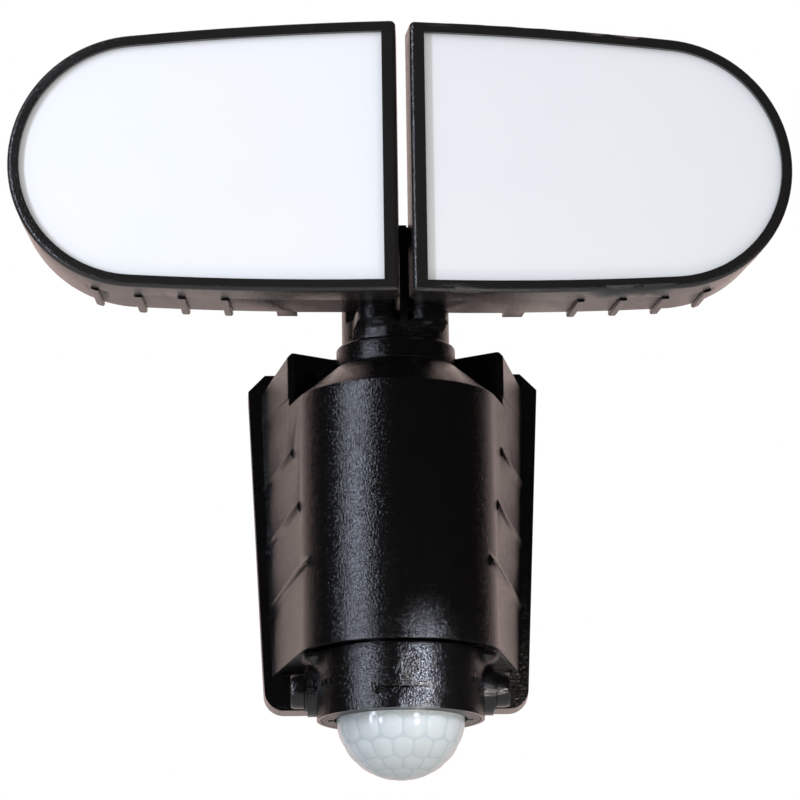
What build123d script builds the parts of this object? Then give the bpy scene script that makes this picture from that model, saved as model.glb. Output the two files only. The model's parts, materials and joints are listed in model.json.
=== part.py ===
from build123d import *
import math
import os

# Wall-held security light with two lamp heads and a motion sensor. Millimetres, +Z up.
# The origin is the middle of the wall plate's back face, -Y points away from the wall,
# and every "out" value below is a distance from the wall along -Y.

# ---------------------------------------------------------------- driving dimensions

# wall plate: a shallow tray that is screwed to the wall
plate_top_z = 65.6
plate_bottom_z = -68.0
plate_top_half_width = 57.0
plate_bottom_half_width = 51.1
plate_depth = 12.0
plate_bevel = 4.2
plate_floor = 3.0
plate_rim = 3.2
plate_top_chamfer = 6.5
plate_bottom_round = 8.0
wall_screw_pitch_x = 70.0
wall_screw_pitch_z = 84.0
wall_screw_hole_radius = 2.6
wall_screw_sink_radius = 5.0
wall_screw_sink_depth = 1.2
cable_hole_radius = 8.0
cable_hole_z = -12.0
cable_radius = 4.0

# casing: half-round front, flat sides that flare back to the wall plate
axis_out = 58.0
shell_radius = 38.0
shell_bottom_z = -54.3
shell_shoulder_z = 43.0
shell_split_z = 46.0
shell_wall = 2.5
shell_floor = 3.0
shell_skirt = 1.6
shell_skirt_wall = 2.0
side_top_half_width = 51.4
side_bottom_half_width = 47.8
cone_top_z = 55.3
cone_top_radius = 22.8
ridge_height = 3.0
ridge_proud = 0.9
ridge_fall_angle = 6.0
ridge_front_outs = (57.0, 66.0, 76.0)
ridge_front_heights = (23.5, 1.0, -22.0)
boss_radius = 4.0
boss_length = 20.0
boss_end_wall = 4.0
boss_x = 41.0
boss_low_z = -40.0
boss_high_z = 30.0
case_screw_radius = 1.5
case_screw_head_radius = 3.0
case_screw_head_height = 2.0
case_screw_length = 16.0

# shoulder cap: the raised rear of the casing with a wing on each side
cap_top_z = 64.0
cap_front_out = 52.0
cap_front_half_width = 41.3
cap_sweep_out = 42.0
cap_sweep_half_width = 24.0
cap_corner = 1.6
cap_rear_chamfer = 6.5
cap_wing_face = 2.7
cap_collar_gap = 1.2

# neck: collar, turning turret and its hinge web
collar_outer_radius = 22.65
collar_top_z = 63.6
collar_round = 1.4
neck_radius = 20.45
neck_top_z = 71.9
drum_top_z = 78.0
drum_front_out = 64.0
stem_radius = 17.0
stem_bottom_z = 43.5
neck_bore_radius = 10.0
neck_nut_radius = 23.0
neck_nut_height = 4.0
neck_washer_height = 1.6
neck_washer_radius = 21.0
neck_nut_grips = 6
neck_nut_grip_depth = 2.0
neck_nut_grip_width = 5.0
neck_pan_angle = 4.3
lug_thickness = 4.1
web_thickness = 3.0
web_top_z = 104.0
web_front_out = 88.5
web_rear_out = 52.0
ear_height = 8.0
ear_bridge_width = 6.0
spine_width = 13.0
spine_depth = 12.0
spine_rear_out = 54.0

# lamp heads: D-shaped, one mirrored from the other, each on an upright hinge pin
pin_out = 83.0
pin_x = 9.5
pin_radius = 2.0
pin_head_radius = 3.2
pin_head_height = 1.2
hinge_washer_radius = 7.0
knuckle_radius = 7.6
head_knuckle_radius = 5.0
right_toe_out_angle = 2.2
left_toe_out_angle = 7.4
lamp_front_out = 110.0
lamp_inner_x = 0.5
lamp_centre_z = 125.1
lamp_half_height = 52.6
lamp_length = 145.5
lamp_crown_radius = 1350.0
lamp_corner_round = 2.0
bezel_depth = 13.0
bezel_border = 4.3
bezel_inner_border = 5.3
bezel_wall = 2.4
bezel_lip = 1.8
bezel_front_round = 1.8
bezel_latch_x = 84.5
bezel_latch_width = 6.0
bezel_latch_height = 1.4
housing_depth = 20.5
housing_inset = 0.4
housing_rear_inset = 1.2
housing_rear_slope = 2.0
housing_wall = 2.2
housing_side_taper = 2.1
block_depth = 38.0
block_width = 47.0
block_recess_start = 16.0
block_recess_width = 23.4
block_recess_height = 5.0
block_recess_depth = 6.0
rib_start = 65.1
rib_pitch = 16.2
rib_count = 4
rib_width = 3.4
rib_proud = 1.2
rib_round = 0.9
diffuser_thickness = 2.2
gasket_thickness = 1.0
gasket_width = 1.6
tray_wall = 1.2
tray_depth = 9.0
tray_slope = 6.0
board_thickness = 1.6
board_inset = 3.2
led_columns = 9
led_rows = 5
led_pitch_x = 12.0
led_pitch_z = 14.0
led_start = 19.4
led_edge_margin = 12.0
led_size = 3.5
led_height = 0.9
lamp_screw_radius = 1.5
lamp_screw_head_radius = 2.8
lamp_screw_head_height = 2.0
lamp_screw_sink = 3.0
lamp_screw_length = 17.5
lamp_screw_x = 23.4
lamp_screw_angle = math.radians(57.0)
lamp_boss_radius = 3.6
lamp_boss_sink = 0.7
lamp_boss_cap = 1.5

# motion sensor: turning barrel in two halves with a dome lens and two side dials
barrel_body_radius = 31.6
barrel_flange_flare = 5.3
barrel_waist_flare = 1.6
barrel_foot_taper = 0.3
barrel_flange_height = 1.7
barrel_flange_slope = 0.4
barrel_waist_drop = 4.6
barrel_body_drop = 10.8
barrel_height = 24.4
barrel_wall = 2.4
barrel_seam_step = 0.9
barrel_seam_width = 7.0
notch_half_width = 11.2
notch_height = 2.6
notch_drop = 19.0
dome_rise = 1.9
lens_wall = 1.3
lens_ring_gap = 0.4
lens_flange_lap = 2.2
lens_flange_height = 1.4
ring_width = 4.9
ring_rebate = 1.0
ring_height = 3.0
ring_notch_width = 3.0
ring_notch_depth = 2.2
swivel_tube_inset = 9.6
swivel_tube_wall = 3.0
swivel_lip_width = 2.6
swivel_lip_height = 2.4
dial_drop = 12.6
dial_offset_y = 4.0
dial_radius = 6.5
dial_thickness = 5.0
dial_dome = 1.2
dial_stem_radius = 2.4
dial_slot_width = 1.4
dial_slot_depth = 1.0
dial_slot_overrun = 2.0
dial_stem_length = 12.4
dial_boss_radius = 9.6
dial_step_radius = 7.9
dial_boss_stand = 3.1
dial_boss_root = 1.0
dial_step_height = 1.0
sensor_post_radius = 2.0
sensor_post_root = 0.5
sensor_post_angles = (45, 135)
potentiometer_width = 9.0
potentiometer_depth = 8.0
detector_can_radius = 4.6
detector_can_height = 4.2
detector_rim = 0.5

# inner parts
cell_radius = 9.2
cell_length = 65.0
cell_count = 3
cell_gap = 0.5
cell_low_z = -34.0
cell_out = 62.0
cell_tip_radius = 3.0
cell_tip_height = 1.0
cradle_wall = 1.8
cradle_leg_depth = 4.0
cradle_shelf_reach = 5.0
control_board_width = 62.0
control_board_height = 74.0
control_board_out = 27.0
control_board_low_z = -36.0
board_post_radius = 3.0
board_post_inset = 5.0
capacitor_radius = 5.0
capacitor_height = 9.0
coil_radius = 3.2
coil_height = 7.0
relay_size = 14.0
relay_height = 6.0
chip_size = 16.0
chip_height = 3.0
grommet_flange_width = 2.5
grommet_tail = 2.0

# clearances
running_gap = 0.3
seat_gap = 0.2
pin_gap = 0.1
leg_gap = 1.0

# larger than the light in every direction, for cutting pieces in two
far = 200.0

# derived sizes of the barrel, its lens and its dials
barrel_flange_radius = barrel_body_radius + barrel_flange_flare
barrel_waist_radius = barrel_body_radius + barrel_waist_flare
barrel_foot_radius = barrel_body_radius - barrel_foot_taper
barrel_inside_radius = barrel_foot_radius - barrel_wall
ring_outer_radius = barrel_inside_radius + ring_rebate - seat_gap
ring_inner_radius = ring_outer_radius - ring_width
lens_radius = ring_inner_radius - lens_ring_gap
lens_flange_radius = ring_inner_radius + lens_flange_lap
swivel_tube_radius = barrel_body_radius - swivel_tube_inset
swivel_lip_radius = swivel_tube_radius + swivel_lip_width
dial_boss_reach = barrel_body_radius + dial_boss_stand
dial_inner_x = dial_boss_reach + dial_step_height + seat_gap
dial_stem_start = dial_inner_x - dial_stem_length


# ---------------------------------------------------------------- helpers

def out_plane(out):
    # upright plane that faces away from the wall, at a distance from it
    return Plane.XZ.offset(out)


def upright_rod(radius, x, out, low_z, high_z):
    rod = Cylinder(radius, high_z - low_z, align=(Align.CENTER, Align.CENTER, Align.MIN))
    return Pos(x, -out, low_z) * rod


def block(low_x, high_x, near_out, far_out, low_z, high_z):
    size = Box(high_x - low_x, far_out - near_out, high_z - low_z, align=(Align.MIN,) * 3)
    return Pos(low_x, -far_out, low_z) * size


def out_rod(radius, x, z, near_out, far_out):
    # round rod that points out of the wall
    disc = Pos(x, z) * Circle(radius)
    return extrude(out_plane(near_out) * disc, far_out - near_out)


def side_rod(radius, near_x, far_x, out, z):
    # round rod along X
    rod = Cylinder(radius, far_x - near_x, align=(Align.CENTER, Align.CENTER, Align.MIN))
    return Pos(near_x, -out, z) * Rot(0, 90, 0) * rod


def save(shape, name, colour):
    shape.label = name
    shape.color = Color(colour)
    export_step(shape, os.path.join("parts", name + ".step"))


def save_pair(shape, stem, colour):
    save(shape, "right_" + stem, colour)
    save(mirror(shape, about=Plane.YZ), "left_" + stem, colour)


def turned(shape, angle, x, out):
    # turned about the upright line through x and out
    return Pos(x, -out, 0) * Rot(0, 0, angle) * Pos(-x, out, 0) * shape


def panned(shape):
    # turned about the neck's axis to where the photograph shows it
    return turned(shape, neck_pan_angle, 0, axis_out)


def save_head_pair(shape, stem, colour):
    # a straight right head's piece, turned about its hinge pin; the left one is its mirror image
    right = turned(shape, right_toe_out_angle, pin_x, pin_out)
    left = turned(shape, left_toe_out_angle, pin_x, pin_out)
    save(panned(right), "right_" + stem, colour)
    save(panned(mirror(left, about=Plane.YZ)), "left_" + stem, colour)


# ---------------------------------------------------------------- casing

shell_inside_z = shell_bottom_z + shell_skirt + shell_floor
rear_cover_front_out = plate_depth + shell_wall


def casing_plan(offset, z, half_width):
    # half circle in front, two tangent sides, straight back edge; offset is inward
    radius = shell_radius - offset
    depth = axis_out - plate_depth
    lean = math.atan2(depth, half_width) - math.acos(shell_radius / math.hypot(half_width, depth))
    touch_x = radius * math.cos(lean)
    touch_y = radius * math.sin(lean) - axis_out
    rear_x = half_width - offset / math.cos(lean)
    rear_y = -plate_depth
    front = ThreePointArc((-touch_x, touch_y, z), (0, -axis_out - radius, z), (touch_x, touch_y, z))
    right = Line((touch_x, touch_y, z), (rear_x, rear_y, z))
    back = Line((rear_x, rear_y, z), (-rear_x, rear_y, z))
    left = Line((-rear_x, rear_y, z), (-touch_x, touch_y, z))
    return make_face([front, right, back, left])


def side_half_width(z):
    # rear half width of the flat sides, which lean slightly outward going up
    share = (z - shell_bottom_z) / (shell_split_z - shell_bottom_z)
    return side_bottom_half_width + share * (side_top_half_width - side_bottom_half_width)


def casing_column(offset, low_z, high_z):
    bottom = casing_plan(offset, low_z, side_half_width(low_z))
    top = casing_plan(offset, high_z, side_half_width(high_z))
    return loft([bottom, top], ruled=True)


def shoulder_cone(offset):
    # cone from the half-round front up to the collar, grown by offset
    height = cone_top_z - shell_shoulder_z
    lower = shell_radius + offset
    upper = cone_top_radius + offset
    cone = Cone(lower, upper, height, align=(Align.CENTER, Align.CENTER, Align.MIN))
    return Pos(0, -axis_out, shell_shoulder_z) * cone


def make_front_shell():
    lower = casing_column(0, shell_bottom_z, shell_shoulder_z)
    rear_top = casing_column(0, shell_shoulder_z, shell_split_z)
    rear_top -= block(-far, far, cap_front_out, far, shell_shoulder_z, shell_split_z)
    cone = shoulder_cone(0)
    grown = casing_column(-ridge_proud, shell_bottom_z, shell_shoulder_z)
    ridges = Part()
    for front_out, front_z in zip(ridge_front_outs, ridge_front_heights):
        length = front_out - plate_depth
        bar = Box(far, length, ridge_height, align=(Align.CENTER, Align.MIN, Align.CENTER))
        ridges += grown & Pos(0, -front_out, front_z) * Rot(-ridge_fall_angle, 0, 0) * bar
    outer = lower + rear_top + cone + ridges
    inner = casing_column(shell_wall, shell_inside_z, shell_shoulder_z)
    inner_top = casing_column(shell_wall, shell_shoulder_z, shell_split_z)
    inner_top -= block(-far, far, cap_front_out - shell_wall, far, shell_shoulder_z, shell_split_z)
    inner_cone = shoulder_cone(-shell_wall) - block(-far, far, 0, far, cone_top_z - shell_wall, far)
    skirt = casing_column(shell_skirt_wall, shell_bottom_z, shell_bottom_z + shell_skirt)
    skirt -= block(-far, far, plate_depth, plate_depth + shell_wall, shell_bottom_z, 0)
    shell = outer - inner - inner_top - inner_cone - skirt
    shell -= upright_rod(stem_radius + running_gap, 0, axis_out, shell_shoulder_z, cone_top_z)
    shell -= upright_rod(swivel_tube_radius + running_gap, 0, axis_out, shell_bottom_z, shell_inside_z)
    boss_near = rear_cover_front_out + seat_gap
    for side in (-1, 1):
        for z in (boss_low_z, boss_high_z):
            boss = out_rod(boss_radius, side * boss_x, z, boss_near, boss_near + boss_length)
            shell += boss & lower
            bore_end = boss_near + boss_length - boss_end_wall
            shell -= out_rod(case_screw_radius + pin_gap, side * boss_x, z, 0, bore_end)
    return shell


def cap_section(out, half_width, corner, inset):
    # upright cross-section of the shoulder cap, from the split up to the roof
    side_x = half_width - inset
    roof_z = cap_top_z - inset
    points = [
        (-side_x, shell_split_z),
        (-side_x, roof_z - corner),
        (-side_x + corner, roof_z),
        (side_x - corner, roof_z),
        (side_x, roof_z - corner),
        (side_x, shell_split_z),
    ]
    return out_plane(out) * make_face(Polyline(*points, close=True))


def cap_body(inset):
    front = cap_section(cap_front_out - inset, cap_front_half_width, cap_corner, inset)
    rear = cap_section(plate_depth, side_top_half_width, cap_rear_chamfer, inset)
    return loft([rear, front], ruled=True)


def cap_sweep(offset):
    # plan of the pocket in front of the roof, between the wings
    wing_x = cap_front_half_width - cap_wing_face + offset
    deep_x = cap_sweep_half_width + offset
    points = [
        (-wing_x, -far),
        (-wing_x, -cap_front_out + offset),
        (-deep_x, -cap_sweep_out + offset),
        (deep_x, -cap_sweep_out + offset),
        (wing_x, -cap_front_out + offset),
        (wing_x, -far),
    ]
    return extrude(make_face(Polyline(*points, close=True)), far)


def make_shoulder_cap():
    hole_radius = collar_outer_radius + cap_collar_gap
    outer = cap_body(0) - cap_sweep(0)
    outer -= upright_rod(hole_radius, 0, axis_out, shell_split_z, cap_top_z)
    outer -= shoulder_cone(seat_gap)
    inner = cap_body(shell_wall) - cap_sweep(shell_wall)
    inner -= upright_rod(hole_radius + shell_wall, 0, axis_out, shell_split_z, cap_top_z)
    cap = outer - inner
    return cap


def make_rear_cover():
    # flat panel that closes the casing, let into its rear edge
    panel = casing_column(shell_wall + seat_gap, shell_inside_z + seat_gap, shell_split_z)
    panel &= block(-far, far, plate_depth, rear_cover_front_out, -far, far)
    for side in (-1, 1):
        for z in (boss_low_z, boss_high_z):
            panel -= out_rod(case_screw_radius + pin_gap, side * boss_x, z, 0, far)
    return panel - out_rod(cable_hole_radius, 0, cable_hole_z, 0, far)


def make_case_screws():
    screws = Part()
    for side in (-1, 1):
        for z in (boss_low_z, boss_high_z):
            head_out = plate_depth - case_screw_head_height
            tip_out = plate_depth + case_screw_length
            screws += out_rod(case_screw_head_radius, side * boss_x, z, head_out, plate_depth)
            screws += out_rod(case_screw_radius, side * boss_x, z, plate_depth, tip_out)
    return screws


# ---------------------------------------------------------------- wall plate

def plate_outline(inset):
    top_x = plate_top_half_width - inset
    low_x = plate_bottom_half_width - inset
    top_z = plate_top_z - inset
    low_z = plate_bottom_z + inset
    points = [
        (-low_x, low_z),
        (low_x, low_z),
        (top_x, top_z - plate_top_chamfer),
        (top_x - plate_top_chamfer, top_z),
        (-top_x + plate_top_chamfer, top_z),
        (-top_x, top_z - plate_top_chamfer),
    ]
    outline = make_face(Polyline(*points, close=True))
    low_corners = outline.vertices().group_by(Axis.Y)[0]
    return fillet(low_corners, plate_bottom_round - inset)


def wall_screw_places():
    for side_x in (-0.5, 0.5):
        for side_z in (-0.5, 0.5):
            yield side_x * wall_screw_pitch_x, side_z * wall_screw_pitch_z


def make_wall_plate():
    back = out_plane(0) * plate_outline(0)
    front = out_plane(plate_depth - seat_gap) * plate_outline(plate_bevel)
    plate = loft([back, front], ruled=True)
    hollow_back = out_plane(plate_floor) * plate_outline(plate_rim + plate_bevel)
    # the hollow stays behind the casing, so no edge of it is open to the rain
    covered = block(-far, far, 0, far, shell_inside_z, far)
    plate -= extrude(hollow_back, plate_depth) & covered
    sink_out = plate_floor - wall_screw_sink_depth
    for x, z in wall_screw_places():
        plate -= out_rod(wall_screw_hole_radius, x, z, 0, plate_depth)
        plate -= out_rod(wall_screw_sink_radius, x, z, sink_out, plate_depth)
    return plate - out_rod(cable_hole_radius, 0, cable_hole_z, 0, plate_depth)


# ---------------------------------------------------------------- neck

def make_collar():
    ring = upright_rod(collar_outer_radius, 0, axis_out, cone_top_z, collar_top_z)
    ring = fillet(ring.edges().group_by(Axis.Z)[-1], collar_round)
    return ring - upright_rod(neck_radius + running_gap, 0, axis_out, cone_top_z, collar_top_z)


def make_turret():
    lug_low_z = neck_top_z - lug_thickness
    turret = upright_rod(neck_radius, 0, axis_out, cone_top_z + running_gap, neck_top_z)
    turret += upright_rod(stem_radius, 0, axis_out, stem_bottom_z, cone_top_z + running_gap)
    # behind the heads the drum stands higher, clear of their swing
    drum = upright_rod(neck_radius, 0, axis_out, neck_top_z, drum_top_z)
    turret += drum & block(-far, far, 0, drum_front_out, neck_top_z, drum_top_z)
    lug_x = pin_x + knuckle_radius
    turret += block(-lug_x, lug_x, axis_out, pin_out, lug_low_z, neck_top_z)
    web_x = web_thickness / 2
    turret += block(-web_x, web_x, web_rear_out, web_front_out, lug_low_z, web_top_z)
    spine_x = spine_width / 2
    spine_front_out = spine_rear_out + spine_depth
    turret += block(-spine_x, spine_x, spine_rear_out, spine_front_out, lug_low_z, web_top_z)
    ear_low_z = web_top_z - ear_height
    ear_near = pin_out - ear_bridge_width / 2
    turret += block(-pin_x, pin_x, ear_near, ear_near + ear_bridge_width, ear_low_z, web_top_z)
    for side in (-1, 1):
        turret += upright_rod(knuckle_radius, side * pin_x, pin_out, lug_low_z, neck_top_z)
        turret += upright_rod(knuckle_radius, side * pin_x, pin_out, ear_low_z, web_top_z)
    for side in (-1, 1):
        turret -= upright_rod(pin_radius, side * pin_x, pin_out, lug_low_z, web_top_z)
    return turret - upright_rod(neck_bore_radius, 0, axis_out, stem_bottom_z, lug_low_z)


def make_neck_washer():
    top_z = cone_top_z - shell_wall - seat_gap
    washer = upright_rod(neck_washer_radius, 0, axis_out, top_z - neck_washer_height, top_z)
    return washer - upright_rod(stem_radius + running_gap, 0, axis_out, 0, top_z)


def make_neck_nut():
    top_z = cone_top_z - shell_wall - 2 * seat_gap - neck_washer_height
    low_z = top_z - neck_nut_height
    nut = upright_rod(neck_nut_radius, 0, axis_out, low_z, top_z)
    nut -= upright_rod(stem_radius, 0, axis_out, low_z, top_z)
    for number in range(neck_nut_grips):
        grip = Box(2 * neck_nut_grip_depth, neck_nut_grip_width, 3 * neck_nut_height)
        turn = Rot(0, 0, 360 / neck_nut_grips * number)
        nut -= Pos(0, -axis_out, low_z) * turn * Pos(neck_nut_radius, 0) * grip
    return nut


def make_hinge_pin():
    low_z = neck_top_z - lug_thickness
    pin = upright_rod(pin_radius, pin_x, pin_out, low_z, web_top_z + pin_head_height)
    pin += upright_rod(pin_head_radius, pin_x, pin_out, web_top_z, web_top_z + pin_head_height)
    return pin


def make_hinge_washer():
    low_z = neck_top_z + pin_gap
    top_z = lamp_low_z + housing_inset - pin_gap
    washer = upright_rod(hinge_washer_radius, pin_x, pin_out, low_z, top_z)
    return washer - upright_rod(pin_radius + pin_gap, pin_x, pin_out, low_z, top_z)


# ---------------------------------------------------------------- lamp heads (the right one, facing out)

housing_side_x = pin_x - head_knuckle_radius
crown_drop = lamp_crown_radius - lamp_half_height
overshoot = lamp_crown_radius - lamp_length
end_radius = (lamp_crown_radius**2 - lamp_length**2 - crown_drop**2) / (2 * overshoot)
end_centre = lamp_length - end_radius
join_angle = math.atan2(crown_drop, end_centre)


def lamp_outline(inset):
    # D shape: straight inner edge, long flat arcs above and below, round outer end
    crown = lamp_crown_radius - inset
    end = end_radius - inset
    start_angle = math.acos(inset / crown)
    middle_angle = (start_angle + join_angle) / 2
    start = (inset, crown * math.sin(start_angle) - crown_drop)
    middle = (crown * math.cos(middle_angle), crown * math.sin(middle_angle) - crown_drop)
    join = (end_centre + end * math.cos(join_angle), end * math.sin(join_angle))
    tip = (end_centre + end, 0)
    inner = Line((start[0], -start[1]), start)
    top = ThreePointArc(start, middle, join)
    outer = ThreePointArc(join, tip, (join[0], -join[1]))
    bottom = ThreePointArc((join[0], -join[1]), (middle[0], -middle[1]), (start[0], -start[1]))
    return Pos(lamp_inner_x, lamp_centre_z) * make_face([inner, top, outer, bottom])


def lamp_slab(inset, near_out, far_out):
    return extrude(out_plane(near_out) * lamp_outline(inset), far_out - near_out)


def lamp_loft(sections):
    # sections are pairs of inset and distance from the wall
    return loft([out_plane(out) * lamp_outline(inset) for inset, out in sections], ruled=True)


bezel_rear_out = lamp_front_out - bezel_depth
housing_rear_out = bezel_rear_out - housing_depth
diffuser_front_out = lamp_front_out - bezel_lip - seat_gap
diffuser_rear_out = diffuser_front_out - diffuser_thickness
lamp_low_z = lamp_centre_z - lamp_half_height
lamp_high_z = lamp_centre_z + lamp_half_height
block_rear_out = lamp_front_out - block_depth
tray_front_out = diffuser_rear_out - gasket_thickness
tray_rear_out = tray_front_out - tray_depth
lamp_screw_seat_out = housing_rear_out + lamp_screw_sink


def lamp_screw_places():
    # near the corners of the D and on its round end, as x and z
    inset = bezel_wall + lamp_boss_radius - lamp_boss_sink
    reach = end_radius - inset
    for side in (-1, 1):
        yield lamp_inner_x + lamp_screw_x, lamp_centre_z + side * (lamp_half_height - inset)
        end_x = lamp_inner_x + end_centre + reach * math.cos(lamp_screw_angle)
        yield end_x, lamp_centre_z + side * reach * math.sin(lamp_screw_angle)


def make_bezel():
    bezel = lamp_slab(0, bezel_rear_out, lamp_front_out)
    corners = bezel.edges().filter_by(Axis.Y).group_by(Axis.X)[0]
    bezel = fillet(corners, lamp_corner_round)
    bezel = fillet(bezel.edges().group_by(Axis.Y)[0], bezel_front_round)
    window_x = lamp_inner_x + bezel_inner_border
    window = block(window_x, far, bezel_rear_out, lamp_front_out, lamp_low_z, lamp_high_z)
    bezel -= lamp_slab(bezel_border, bezel_rear_out, lamp_front_out) & window
    bezel -= lamp_slab(bezel_wall, bezel_rear_out, lamp_front_out - bezel_lip)
    for x, z in lamp_screw_places():
        bore_end = tray_front_out - lamp_boss_cap
        bezel += out_rod(lamp_boss_radius, x, z, bezel_rear_out, tray_front_out - seat_gap)
        bezel -= out_rod(lamp_screw_radius + pin_gap, x, z, bezel_rear_out, bore_end)
    latch_x = lamp_inner_x + bezel_latch_x
    latch_end_x = latch_x + bezel_latch_width
    latch_front_out = bezel_rear_out + bezel_latch_height
    return bezel - block(latch_x, latch_end_x, bezel_rear_out, latch_front_out, 0, lamp_centre_z)


def make_diffuser():
    return lamp_slab(bezel_wall + seat_gap, diffuser_rear_out, diffuser_front_out)


def make_lamp_gasket():
    rear_out = diffuser_rear_out - gasket_thickness
    outer_inset = bezel_wall + seat_gap
    ring = lamp_slab(outer_inset, rear_out, diffuser_rear_out)
    return ring - lamp_slab(outer_inset + gasket_width, rear_out, diffuser_rear_out)


def clear_lamp_bosses(shape):
    # relief round each screw boss
    rear_out = tray_rear_out - board_thickness
    for x, z in lamp_screw_places():
        shape -= out_rod(lamp_boss_radius + seat_gap, x, z, rear_out, tray_front_out)
    return shape


def make_reflector_tray():
    rim = bezel_wall + seat_gap
    outer = lamp_loft([(rim + tray_slope, tray_rear_out), (rim, tray_front_out)])
    inner_rim = rim + tray_wall
    inner = lamp_loft([(inner_rim + tray_slope, tray_rear_out), (inner_rim, tray_front_out)])
    return clear_lamp_bosses(outer - inner)


def make_led_board():
    rear_out = tray_rear_out
    front_out = rear_out + led_height
    board = clear_lamp_bosses(lamp_slab(board_inset, rear_out - board_thickness, rear_out))
    inner_x = housing_side_x + housing_wall + seat_gap
    board &= block(inner_x, far, rear_out - board_thickness, rear_out, 0, far)
    half = led_size / 2
    for row in range(led_rows):
        rise = (row - (led_rows - 1) / 2) * led_pitch_z
        z = lamp_centre_z + rise
        for column in range(led_columns):
            x = led_start + column * led_pitch_x
            beyond = max(x - lamp_inner_x - end_centre, 0)
            # the round end has no room for the outermost ones
            if math.hypot(beyond, rise) < end_radius - led_edge_margin:
                board += block(x - half, x + half, rear_out, front_out, z - half, z + half)
    return board


def make_housing_rib(x):
    # round-edged cooling rib that wraps the housing's underside, back and top
    near_out = housing_rear_out - rib_proud
    half = rib_width / 2
    rib = lamp_slab(housing_inset - rib_proud, near_out, bezel_rear_out)
    rib &= block(x - half, x + half, near_out, bezel_rear_out, 0, far)
    return fillet(rib.faces().filter_by(Axis.X).edges(), rib_round)


def make_rear_housing():
    rear = housing_rear_out
    slope_out = rear + housing_rear_slope
    sections = [(housing_rear_inset, rear), (housing_inset, slope_out), (housing_inset, bezel_rear_out)]
    shell = lamp_loft(sections)
    deep_end_x = lamp_inner_x + block_width
    deep = lamp_slab(housing_inset, block_rear_out, slope_out)
    shell += deep & block(0, deep_end_x, block_rear_out, slope_out, 0, far)
    for number in range(rib_count):
        shell += make_housing_rib(lamp_inner_x + rib_start + number * rib_pitch)
    inside_x = housing_side_x + housing_wall
    inside = block(inside_x, far, rear, bezel_rear_out, 0, far)
    shell -= lamp_slab(housing_wall + housing_inset, rear + housing_wall, bezel_rear_out) & inside
    for x, z in lamp_screw_places():
        shell += out_rod(lamp_boss_radius, x, z, rear + housing_wall / 2, bezel_rear_out)
    # the side towards the web tapers back, and behind the pin only the knuckle is left
    lead_x = housing_side_x - housing_side_taper
    front_y = -bezel_rear_out
    corners = [(-far, front_y), (lead_x, front_y), (housing_side_x, -pin_out), (-far, -pin_out)]
    shell -= extrude(make_face(Polyline(*corners, close=True)), far)
    shell -= block(-far, pin_x, 0, pin_out, 0, far)
    knuckle_low_z = lamp_low_z + housing_inset
    knuckle_high_z = lamp_high_z - housing_inset
    shell += upright_rod(head_knuckle_radius, pin_x, pin_out, knuckle_low_z, knuckle_high_z)
    for x, z in lamp_screw_places():
        shell -= out_rod(lamp_screw_radius + pin_gap, x, z, 0, bezel_rear_out)
        shell -= out_rod(lamp_screw_head_radius + seat_gap, x, z, 0, lamp_screw_seat_out)
    recess_x = lamp_inner_x + block_recess_start
    recess_top = lamp_low_z + block_recess_height
    recess_far = block_rear_out + block_recess_depth
    shell -= block(recess_x, recess_x + block_recess_width, block_rear_out, recess_far, 0, recess_top)
    # room for the turret's ear and the head of the pin
    slot_radius = knuckle_radius + 2 * running_gap
    slot_low_z = web_top_z - ear_height - running_gap
    slot_high_z = web_top_z + pin_head_height + running_gap
    shell -= upright_rod(slot_radius, pin_x, pin_out, slot_low_z, slot_high_z)
    return shell - upright_rod(pin_radius + pin_gap, pin_x, pin_out, 0, web_top_z)


def make_lamp_screws():
    screws = Part()
    seat = lamp_screw_seat_out
    for x, z in lamp_screw_places():
        screws += out_rod(lamp_screw_head_radius, x, z, seat - lamp_screw_head_height, seat)
        screws += out_rod(lamp_screw_radius, x, z, seat, seat + lamp_screw_length)
    return screws


# ---------------------------------------------------------------- motion sensor

barrel_top_z = shell_bottom_z - running_gap
barrel_foot_z = barrel_top_z - barrel_height
dial_z = barrel_top_z - dial_drop
dial_out = axis_out - dial_offset_y
sensor_board_top_z = dial_z - dial_stem_radius - lens_ring_gap
dome_centre_z = barrel_foot_z + dome_rise


def barrel_profile(offset):
    # half section of the barrel from its flange down to its foot, as radius and height
    flange = barrel_flange_radius - offset
    waist = barrel_waist_radius - offset
    body = barrel_body_radius - offset
    foot = barrel_foot_radius - offset
    lip_z = barrel_top_z - barrel_flange_height
    rim = flange - barrel_flange_slope
    top = Line((0, barrel_top_z), (rim, barrel_top_z))
    lip = Line((rim, barrel_top_z), (flange, lip_z))
    sweep = ThreePointArc(
        (flange, lip_z),
        (waist, barrel_top_z - barrel_waist_drop),
        (body, barrel_top_z - barrel_body_drop),
    )
    wall = Line((body, barrel_top_z - barrel_body_drop), (foot, barrel_foot_z))
    foot_line = Line((foot, barrel_foot_z), (0, barrel_foot_z))
    axis_line = Line((0, barrel_foot_z), (0, barrel_top_z))
    return Plane.XZ * make_face([top, lip, sweep, wall, foot_line, axis_line])


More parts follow.
